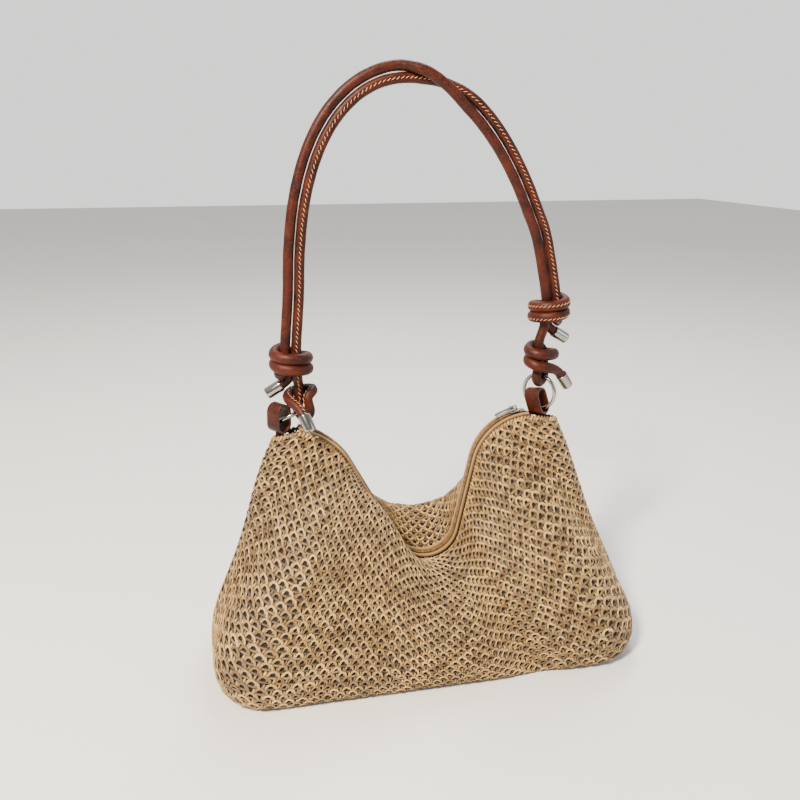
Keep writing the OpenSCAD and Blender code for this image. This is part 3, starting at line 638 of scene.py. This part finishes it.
def guide(name, lines):
    """A mesh of open lines for `along`; each line is its points and the up direction at each."""
    points = np.concatenate([p for p, up in lines]) * MM
    edges, count = [], 0
    for p, up in lines:
        edges += [(count + i, count + i + 1) for i in range(len(p) - 1)]
        count += len(p)
    mesh = bpy.data.meshes.new(name)
    mesh.from_pydata(points.tolist(), edges, [])
    ups = mesh.attributes.new("up", "FLOAT_VECTOR", "POINT")
    ups.data.foreach_set("vector", np.concatenate([np.broadcast_to(u, p.shape) for p, u in lines]).ravel())
    return mesh


# %% [markdown]
# ## The raffia mesh
# Each stitch is a hooked loop that rises over the row below, its slanting tail, a short strand beside it
# and a strand that runs along the row underneath. A small dark hole stays inside the hook. Rows are offset
# by half a stitch. A thin lining lies behind the mesh, coloured nearly black as painted shade for the
# shaded inside of the bag.

# %% The loops
PITCH, ROW = 10.8, 4.9
ACROSS, UP = 44, 56
FIRST_ROW, SPARE_ROWS = 0.62, 0.3
STITCH_DEPTH = 1.7
flat_up = (0, 0, 1)


def strand(path, half_w, half_t=0.45):
    """A flat straw of paper along a path, its width in the plane of the mesh."""
    path = np.array(path, float)
    t = unit(np.gradient(path, axis=0))
    return tube(path, np.cross(flat_up, t), half_w, half_t)


hook = strand([(-3.7, -3.6, -1.4), (-3.3, -1.2, -0.8), (-2.4, 1.3, -0.4), (-0.4, 2.4, -0.3),
               (1.5, 1.5, -0.45), (2.3, 0.0, -0.85), (1.8, -1.3, -1.35)], 0.98, 0.5)
tail = strand([(1.2, 2.1, -1.0), (3.0, 0.9, -0.6), (3.9, -1.2, -0.55), (4.6, -3.4, -1.2)], 0.96, 0.5)
beside = strand([(-5.3, -2.9, -1.1), (-4.8, -0.6, -0.7), (-4.5, 1.7, -1.0)], 0.9)
under = strand([(-5.5, -2.5, -1.5), (-2.0, -2.65, -1.25), (2.0, -2.4, -1.3), (5.5, -2.5, -1.5)], 1.1)
loop_top = make("loop_top", *together([hook, tail]))
loop_ground = make("loop_ground", *together([beside, under]))
print("one stitch has", len(loop_top.data.polygons) + len(loop_ground.data.polygons), "faces")


# %% The mesh on each panel, in a left and a right piece
def raffia_panel(side, half):
    label = PANEL_NAMES[side] + ("_left" if half == 0 else "_right")
    cells = ACROSS // 2
    parts = []
    for loops, seed in ((loop_top, 11), (loop_ground, 23)):
        parts.append(grow("raffia_" + label, lattice, bpy.data.meshes.new("seed"), Across=cells, Up=UP,
                          Pitch=PITCH * MM, Row=ROW * MM, Wobble=0.4 * MM, Seed=seed + 5 * half + side,
                          Loop=loops, Material=raffia))
    obj = joined(parts[0], parts[1:])
    obj.name = "raffia_" + label
    mesh = obj.data
    flat = np.empty(len(mesh.vertices) * 3, np.float32)
    mesh.vertices.foreach_get("co", flat)
    flat = flat.reshape(-1, 3).astype(float) / MM
    u = (flat[:, 0] + cells * PITCH / 2) / (PITCH * ACROSS) + 0.5 * half
    v = (flat[:, 1] + (UP - 1) * ROW / 2 + FIRST_ROW * ROW) / (ROW * (UP + SPARE_ROWS))
    # the last strands turn back into a firm edge at the seams and the mouth
    edge = 0.0035
    u = np.clip(u, edge, 1 - edge)
    v = np.clip(v, edge, 1 - edge)
    # how far each point lies below the top of the stitch; the raffia darkens with it as painted shade
    deep = np.clip(-flat[:, 2] / STITCH_DEPTH, 0, 1)
    laid = on_surface(skins[side], u, v, flat[:, 2] + 0.05)
    laid[:, 2] = np.maximum(laid[:, 2], 0.15)
    mesh.vertices.foreach_set("co", (laid * MM).astype(np.float32).ravel())
    if side > 0:
        mesh.flip_normals()
    mesh.attributes.new("deep", "FLOAT", "POINT").data.foreach_set("value", deep.astype(np.float32))
    mesh.update()
    place(obj, "bag")
    return obj


panels = {}
for side, name in PANEL_NAMES.items():
    for half in (0, 1):
        panels[side, half] = raffia_panel(side, half)
    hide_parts(name + "_panel")
    print("panel", name, sum(len(panels[side, h].data.polygons) for h in (0, 1)), "faces")
for spare in (loop_top, loop_ground):
    bpy.data.objects.remove(spare)


# %% Edging: a firm strand along the mouth, oversewn with raffia
whip = make("whip", *strand([(-1.3, -2.5, -0.9), (-0.7, -1.5, 0.75), (0.4, 0.9, 0.95), (1.2, 2.0, -0.5)],
                            0.95))
edgings = {}
for side, name in PANEL_NAMES.items():
    grid, out = skins[side]
    line = grid[:, -1] - 1.05 * out[:, -1]
    line = line - unit(grid[:, -1] - grid[:, -3]) * 1.1
    rope = make("edge_" + name, *tube(line, grid[:, -1] - grid[:, -3], 1.5, 0.95, 8), raffia)
    facing_out(rope)
    sewn = grow("edging_" + name, along, guide("edge_line_" + name, [(line, out[:, -1])]), Spacing=3.4 * MM,
                Wobble=0.15, Seed=31, Piece=whip, Material=raffia)
    facing_out(joined(sewn, [rope]))
    edgings[side] = place(sewn, "bag")
    print("edging", name, len(sewn.data.polygons), "faces")
bpy.data.objects.remove(whip)

# %% The lining behind the mesh
# it stops just short of the mouth; its near-black colour is painted shade for the bag's shaded inside
LINING_IN, LINING_LOW = 2.05, 2.0
linings = {}
for side, name in PANEL_NAMES.items():
    grid, out = skins[side]
    laid = (grid - LINING_IN * out)[:, :-1].reshape(-1, 3)
    laid[:, 2] = np.maximum(laid[:, 2], LINING_LOW)
    tall = grid.shape[1] - 1
    quads = [(i * tall + j, (i + 1) * tall + j, (i + 1) * tall + j + 1, i * tall + j + 1)
             for i in range(grid.shape[0] - 1) for j in range(tall - 1)]
    linings[side] = make("lining_" + name, laid, quads if side < 0 else [q[::-1] for q in quads],
                         lining_painted_shade, "bag")
    print("lining", name, len(quads), "faces")

# %% [markdown]
# ## Copies of the CAD solids
# Tapes, tabs, slider and pull keep their CAD shape. A copy is merged, its sharp edges get a small round,
# and it takes a real material.


# %% A rounded copy of a CAD node
def copy_of(node, material, body, round_mm, segments=2):
    source = nodes[node].data.copy()
    obj = place(bpy.data.objects.new(node + "_dressed", source), None)
    work = bmesh.new()
    work.from_mesh(source)
    bmesh.ops.remove_doubles(work, verts=work.verts, dist=0.01 * MM)
    bmesh.ops.dissolve_limit(work, angle_limit=math.radians(0.5), verts=work.verts, edges=work.edges)
    sharp = [e for e in work.edges if len(e.link_faces) == 2
             and e.calc_face_angle() > math.radians(35)]
    bmesh.ops.bevel(work, geom=sharp, offset=round_mm * MM, segments=segments, affect="EDGES",
                    profile=0.5, clamp_overlap=True)
    bmesh.ops.triangulate(work, faces=[f for f in work.faces if len(f.verts) > 4])
    bmesh.ops.recalc_face_normals(work, faces=work.faces)
    work.to_mesh(source)
    work.free()
    source.materials.clear()
    source.materials.append(material)
    source.polygons.foreach_set("use_smooth", [True] * len(source.polygons))
    source.set_sharp_from_angle(angle=math.radians(40))
    if body:
        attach(obj, body)
    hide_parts(node)
    return obj


# %% Facing, tapes, seam tapes and stops
dressings = [("mouth_binding_front", facing_cloth, "facing", 0.25),
             ("mouth_binding_back", facing_cloth, "facing", 0.25),
             ("zip_tape_front", tape_cloth, "zip_tape", 0.15),
             ("zip_tape_back", tape_cloth, "zip_tape", 0.15),
             ("side_seam_tape_left", facing_cloth, "facing", 0.2),
             ("side_seam_tape_right", facing_cloth, "facing", 0.2),
             ("base_seam_tape", facing_cloth, "facing", 0.2),
             ("zip_stop_right", nickel, "nickel", 0.4),
             ("zip_stop_left", coil, "zip_coil", 0.4)]
trim = {node: copy_of(node, material, "bag", edge_round)
        for node, material, slot, edge_round in dressings}
print("trim", sorted(trim))

# %% The coil: one bent turn of nylon after another, on both sides
TOOTH_STEP, ZIP_MARGIN = 1.24, 5.0
tooth = tube([(0.0, 1.05, -0.7), (0.05, 0.3, -0.75), (0.1, -0.55, -0.55), (0.1, -0.95, 0.1),
              (0.05, -0.5, 0.75), (0.0, 0.3, 0.8), (0.0, 1.05, 0.6)], (1, 0, 0), 0.42, 0.3)
teeth = {1: make("tooth_front", *tooth), -1: make("tooth_back", tooth[0] * [1, -1, 1], tooth[1])}
facing_out(teeth[-1])
steps = np.linspace(ZIP_MARGIN, zip_length - ZIP_MARGIN, 260)
coil_mid = TAPE_T / 2 + 0.4 + 0.95
for side, name in PANEL_NAMES.items():
    shift = TOOTH_STEP / 2 * (side > 0)
    line = np.array([beside_zip(d + shift, side * 1.5, coil_mid) for d in steps])
    ups = np.array([beside_zip(d, 0, 1) - beside_zip(d, 0, 0) for d in steps])
    base = guide("coil_" + name, [(line, ups)])
    turns = grow("zip_coil_%s_turns" % name, along, base, Spacing=TOOTH_STEP * MM, Wobble=0.02, Seed=5,
                 Piece=teeth[side], Material=coil)
    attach(turns, "bag")
    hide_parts("zip_coil_" + name)
    print("coil", name, len(turns.data.polygons), "faces")
for spare in teeth.values():
    bpy.data.objects.remove(spare)

# %% Slider and pull
for metal_piece in (copy_of("zip_slider", nickel, "zip_slider", 0.3),
                    copy_of("zip_pull", nickel, "zip_pull", 0.3, 3)):
    print(metal_piece.name, len(metal_piece.data.polygons), "faces")

# %% [markdown]
# ## Leather tabs and rings
# The real tabs bend between the bag and the handle as it swings; here each is a fixed, rounded copy of its
# CAD tab that follows neither.

# %% Tabs
TAB_TURN = math.radians(-52)
across_tab = Vector((math.cos(TAB_TURN), math.sin(TAB_TURN), 0))
for node, x in (("tab_left", -130.0), ("tab_right", 117.0)):
    tab = copy_of(node, strap_leather, None, 0.55, 3)
    tab.data.materials.append(edge_leather)
    # faces that look along the strap's width are its cut edges
    for face in tab.data.polygons:
        face.material_index = int(abs(face.normal.dot(across_tab)) > 0.8)
    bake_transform(tab)
    print(node, len(tab.data.polygons), "faces")


# %% Rings
def turn_to(points, axis, middle):
    """Moves points made round Z at the origin to stand round an axis at a middle."""
    axis = unit(axis)
    side = unit(np.cross(axis, (0.3, 0.2, 1.0) if abs(axis[2]) < 0.9 else (1.0, 0, 0)))
    return points @ np.stack([side, np.cross(axis, side), axis]) + middle


RING_R, WIRE_R = 16.4, 1.8
wire = [(RING_R + WIRE_R * math.cos(a), WIRE_R * math.sin(a))
        for a in np.linspace(0, 2 * math.pi, 21)[:-1]]
ring_mids = {}
for node in ("ring_left", "ring_right"):
    joint = joints[node + "_spin"]
    middle, axis = np.array(joint["pos_m"]) / MM, unit(joint["axis"])
    ring_mids[node] = middle, axis
    p, f = turned(wire, 96, closed=True)
    ring = make(node + "_polished", turn_to(p, axis, middle), f, nickel, node)
    facing_out(ring)
    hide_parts(node)
    print(node, "middle", middle.round(1))

# %% [markdown]
# ## The handle's cords
# The route's points are the CAD part's: each cord starts in one upper knot, wraps the other cord, crosses
# it over the arch, goes down through the other upper knot, round the ring and into the lower knot.

# %% The knots, in millimetres about each knot's or ring's middle
CORD_R = 4.5
WRAP_TURN, WRAP_PITCH, KNOT_PITCH = 650, 9.6, 10.2


def polar(r, a, h):
    """A radius, an angle in degrees and a height."""
    return [r * math.cos(math.radians(a)), r * math.sin(math.radians(a)), h]


def at_frame(o, b, c, points):
    """Points given along b, c and Z from o."""
    p = np.array(points, float)
    return o + p[:, :1] * b + p[:, 1:2] * c + p[:, 2:] * np.array([0, 0, 1.0])


knot_tail = [[0.4, 5.5, -12.5], [3, 6.4, -18], [9, 7, -23], [15.6, 7.6, -27.2]]
wrap = [polar(5.6, -30, 14), polar(5.6, -30, 4), polar(5.6, -30, -4), polar(7, -15, -10),
        polar(10.2, 8, -12), polar(13.2, 36, -11.4)]
wrap += [polar(15.1, 65 + WRAP_TURN * i / 22, -9.8 + WRAP_PITCH * WRAP_TURN / 360 * i / 22)
         for i in range(23)]
wrap += [polar(13.2, 24, 9.4), polar(10.2, 52, 10.4), polar(7, 75, 8), polar(5.6, 90, 2),
         polar(5.6, 90, -6)]
wrap += knot_tail
through = [polar(5.6, 210, h) for h in (14, 4, -6, -16)]


def ring_path(turns):
    """Down to a ring, round its wire, and up into the lower knot."""
    top = 15.8 + KNOT_PITCH * turns
    path = [[-5, 0, top + 8], [-4.8, 0, top], [-4.8, 0, top - 9], [-5.4, 0, 6]]
    path += [[6.9 * math.cos(a), 0, 6.9 * math.sin(a)] for a in np.radians(range(180, 361, 36))]
    path += [[5.4, 0, 6], [4.8, 0, (top + 2) / 2], [4.8, 0.8, top - 3], [5.2, 6, top]]
    for i in range(12 * turns + 4):
        a = math.radians(80 + 30 * i)
        path.append([14.7 * math.cos(a), 11.2 * math.sin(a), top + 0.6 - KNOT_PITCH * 30 * i / 360])
    return path + [[-13.4, -5.4, 11.8], [-5.8, -11.6, 10], [4, -14, 6.2], [11, -16, 0.4],
                   [15.6, -17.4, -5.6]]


# %% The arch, where the two cords run side by side and cross
PAIR_R, ARCH_TOP = 4.8, 529
CROSS_FROM, CROSS_POINTS = 7, 3.4
arch_shape = [(0.018, 0.13), (0.028, 0.32), (0.052, 0.51), (0.097, 0.68), (0.16, 0.815), (0.24, 0.915),
              (0.325, 0.975), (0.41, 1), (0.495, 0.99), (0.578, 0.95), (0.658, 0.88), (0.732, 0.785),
              (0.802, 0.66), (0.866, 0.51), (0.918, 0.355), (0.962, 0.2)]
upper_right = np.array([122.0, MOUTH_Y, 327.5])
upper_left = np.array([-117.0, MOUTH_Y, 290.5])
left_end, right_end = upper_left + [0, 0, 30], upper_right + [-1, 0, 30]
arch_line = np.array([[lerp(left_end[0], right_end[0], a), MOUTH_Y,
                       lerp(lerp(left_end[2], right_end[2], a), ARCH_TOP, b)] for a, b in arch_shape])


def arch_cord(phase):
    """One cord of the pair; half a turn about the middle line makes the crossing."""
    out, last = [], len(arch_line) - 1
    for i, p in enumerate(arch_line):
        t = unit(arch_line[min(i + 1, last)] - arch_line[max(i - 1, 0)])
        turn = phase + math.pi * min(1, max(0, (i - CROSS_FROM) / CROSS_POINTS))
        n = np.array([t[2], 0, -t[0]])
        out.append(p + PAIR_R * (n * math.cos(turn) + np.array([0, math.sin(turn), 0])))
    return np.array(out)


# %% Each cord from end to end
X, Y, Z = np.eye(3)
round_b = np.array([-math.sin(TAB_TURN), math.cos(TAB_TURN), 0])
round_c = np.array([-math.cos(TAB_TURN), -math.sin(TAB_TURN), 0])
left_mid, left_axis = ring_mids["ring_left"]
left_top = left_mid + RING_R * unit(Z - left_axis * left_axis[2])
right_top = ring_mids["ring_right"][0] + RING_R * Z
left_level = unit(np.cross(Z, left_axis))
route_a = np.concatenate([at_frame(upper_left, -X, Y, wrap)[::-1], arch_cord(math.pi),
                          at_frame(upper_right, X, Y, through),
                          at_frame(right_top, round_b, round_c, ring_path(1))])
route_b = np.concatenate([at_frame(upper_right, X, Y, wrap)[::-1], arch_cord(0)[::-1],
                          at_frame(upper_left, -X, Y, through),
                          at_frame(left_top, np.cross(Z, left_level), -left_level, ring_path(0))])


# %% Smooth lines and directions that don't twist
def smooth_line(p, spacing=2.5):
    """A smooth line through points, in even steps."""
    out = []
    for i in range(len(p) - 1):
        a, b, c, d = p[max(i - 1, 0)], p[i], p[i + 1], p[min(i + 2, len(p) - 1)]
        cuts = max(1, round(float(np.linalg.norm(c - b)) / spacing))
        t = (np.arange(cuts) / cuts)[:, None]
        out.append(0.5 * (2 * b + (c - a) * t + (2 * a - 5 * b + 4 * c - d) * t * t
                          + (3 * b - a - 3 * c + d) * t**3))
    return np.concatenate(out + [p[-1:]])


def carried(path, start_way, start):
    """A direction across the path, carried both ways from one point without twist."""
    t = unit(np.gradient(path, axis=0))
    out = np.zeros_like(path)
    out[start] = unit(start_way - t[start] * (t[start] @ start_way))
    for order in (range(start + 1, len(path)), range(start - 1, -1, -1)):
        step = 1 if order.step > 0 else -1
        for i in order:
            n = out[i - step]
            out[i] = unit(n - t[i] * (t[i] @ n))
    return out, t


lines = {}
for name, route in (("a", route_a), ("b", route_b)):
    path = smooth_line(route)
    apex = int(path[:, 2].argmax())
    way, t = carried(path, np.array([0.0, 1.0 if name == "a" else -1.0, 0.0]), apex)
    lines[name] = path, way, t
    length = np.linalg.norm(np.diff(path, axis=0), axis=1).sum()
    print("cord", name, round(length), "mm long,", len(path), "points")

# %% The cords: rolled leather with a shallow seam where its edges meet
SIDES = 20
for name, (path, way, t) in lines.items():
    across = np.cross(t, way)
    a = np.arange(SIDES) * 2 * math.pi / SIDES
    ripple = 1 + 0.012 * np.sin(np.arange(len(path)) * 0.9)[:, None]
    radius = CORD_R * ripple * (1 - 0.10 * np.exp(-((np.minimum(a, 2 * math.pi - a) / 0.28) ** 2)))
    ring_points = path[:, None] + radius[..., None] * (way[:, None] * np.cos(a)[None, :, None]
                                                       + across[:, None] * np.sin(a)[None, :, None])
    # pulled tight, the wraps of the knots flatten against each other
    level_run = np.clip((0.5 - np.abs(t[:, 2])) / 0.3, 0, 1) * (path[:, 2] < 350)
    ring_points[..., 2] += (ring_points[..., 2] - path[:, None, 2]) * 0.13 * level_run[:, None]
    cord = make("leather_cord_" + name, ring_points.reshape(-1, 3), tube_faces(len(path), SIDES), leather,
                "handle")
    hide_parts("cord_sleeve_" + name, "cord_filler_" + name)
    print(cord.name, len(cord.data.polygons), "faces")

# %% Stitches along the seams, grown by `along`
STITCH_STEP, STITCH_AT = 4.0, 0.93
stitch = make("stitch", *tube([(-1.5, -0.9, -0.25), (-0.9, -0.5, 0.3), (0.0, 0.0, 0.42), (0.9, 0.5, 0.3),
                               (1.5, 0.9, -0.25)], (0, 1, 0), 0.3, 0.24))
for name, (path, way, t) in lines.items():
    base = guide("seam_" + name, [(path + way * CORD_R * STITCH_AT, way)])
    sewn = grow("stitches_" + name, along, base, Spacing=STITCH_STEP * MM, Wobble=0.12, Seed=9,
                Piece=stitch, Material=thread)
    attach(sewn, "handle")
    print("stitches", name, len(sewn.data.polygons) // len(stitch.data.polygons))
bpy.data.objects.remove(stitch)

# %% End caps: drawn nickel cups with dished ends
CAP_BACK = 8
profile = [(0, 4.0), (4.55, 4.0), (4.62, 0.2), (4.9, 0.0), (5.25, 0.12), (5.45, 0.5), (5.5, 1.2), (5.5, 14.3),
           (5.38, 15.1), (5.1, 15.45), (4.75, 15.5), (4.45, 15.2), (4.25, 14.4), (3.6, 13.0), (2.0, 12.2),
           (0, 12.0)]
ends = {"cap_upper_left": ("a", 0), "cap_lower_right": ("a", -1), "cap_upper_right": ("b", 0),
        "cap_lower_left": ("b", -1)}
for node, (name, end) in ends.items():
    path = lines[name][0]
    tip, before = (path[0], path[1]) if end == 0 else (path[-1], path[-2])
    way = unit(tip - before)
    p, f = turned(profile, 40)
    cap = make(node + "_polished", turn_to(p, way, tip - CAP_BACK * way), f, nickel, "handle")
    facing_out(cap)
    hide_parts(node)
    middle = (np.array(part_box(node)[0]) + np.array(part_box(node)[1])) / 2
    print(node, "off by", (np.array(cap.bound_box).mean(0) - middle).round(4))

# %% [markdown]
# ## Flat sizes
# The raffia panels were knitted flat and sewn into a body, with the lining behind; the tapes are sewn on.
# Each half panel's flat width, height and area is printed; the pieces sewn to it are listed and the linings'
# sizes worked out, but neither is used.


# %% Flat sizes
def band_size(side, half):
    """Width, height and area of a half panel laid flat, in metres."""
    grid = skins[side][0]
    mid = grid.shape[0] // 2
    g = grid[:mid + 1] if half == 0 else grid[mid:]
    wide = np.linalg.norm(np.diff(g, axis=0), axis=2).sum(0).max()
    tall = np.linalg.norm(np.diff(g, axis=1), axis=2).sum(1).max()
    area = np.linalg.norm(np.cross(g[1:, :-1] - g[:-1, :-1], g[:-1, 1:] - g[:-1, :-1]), axis=2).sum()
    return wide * MM, tall * MM, area * MM * MM


for (side, half), panel in panels.items():
    wide, tall, area = band_size(side, half)
    pieces = []
    if half == 0:
        name = PANEL_NAMES[side]
        pieces = [edgings[side], trim["mouth_binding_" + name], trim["zip_tape_" + name]]
    if (side, half) == (-1, 0):
        pieces += [trim["side_seam_tape_left"], trim["base_seam_tape"]]
    if (side, half) == (-1, 1):
        pieces += [trim["side_seam_tape_right"]]
    print(panel.name, "flat", round(wide, 3), round(tall, 3), "area", round(area, 4))
for side, lining in linings.items():
    halves = np.array([band_size(side, 0), band_size(side, 1)])
    wide, tall, area = halves[:, 0].sum(), halves[:, 1].max(), halves[:, 2].sum()

# %% [markdown]
# ## Floor and light
# A plain pale floor and soft studio light from the upper left, with a weak fill from the right.

# %% Floor
look = Look("studio_floor_painted", Roughness=0.75)
floor_paint = look.finish(look.mix(look.noise(900), "#d9d8d5", "#dfdedb"))
FLOOR_Z = -0.3
corners = [(x, y, FLOOR_Z) for x, y in ((-4000, -3000), (4000, -3000), (4000, 6000), (-4000, 6000))]
floor = make("floor", corners, [(0, 1, 2, 3)], floor_paint)

# %% Light
world = bpy.data.worlds.new("studio")
bpy.context.scene.world = world
world.use_nodes = True
# a pale wall stands behind the bag, so the light is strongest from there and weakest from the front
way = add(world.node_tree, "ShaderNodeTexCoord").outputs["Generated"]
back = add(world.node_tree, "ShaderNodeSeparateXYZ", _0=way).outputs["Y"]
level = add(world.node_tree, "ShaderNodeMapRange", _0=back, _1=-0.4, _2=0.7, _3=0.5, _4=1.5).outputs[0]
world.node_tree.links.new(level, world.node_tree.nodes["Background"].inputs["Strength"])
world.node_tree.nodes["Background"].inputs["Color"].default_value = rgb("#f4f4f2")


def lamp(name, place_at, aim, size, power, tint):
    """A round soft light, in metres and watts."""
    data = bpy.data.lights.new(name, "AREA")
    data.shape = "DISK"
    data.size = size
    data.energy = power
    data.color = rgb(tint)[:3]
    obj = bpy.data.objects.new(name, data)
    bpy.context.scene.collection.objects.link(obj)
    obj.location = place_at
    obj.rotation_euler = (Vector(aim) - Vector(place_at)).to_track_quat("-Z", "Y").to_euler()


lamp("key", (-1.0, -1.1, 1.7), (0, 0, 0.15), 0.4, 150, "#fff1dc")
lamp("fill", (1.5, -0.9, 0.9), (0, 0, 0.2), 1.3, 12, "#eef3ff")
lamp("top", (0.3, 0.9, 1.7), (0, 0, 0.2), 0.8, 26, "#ffffff")
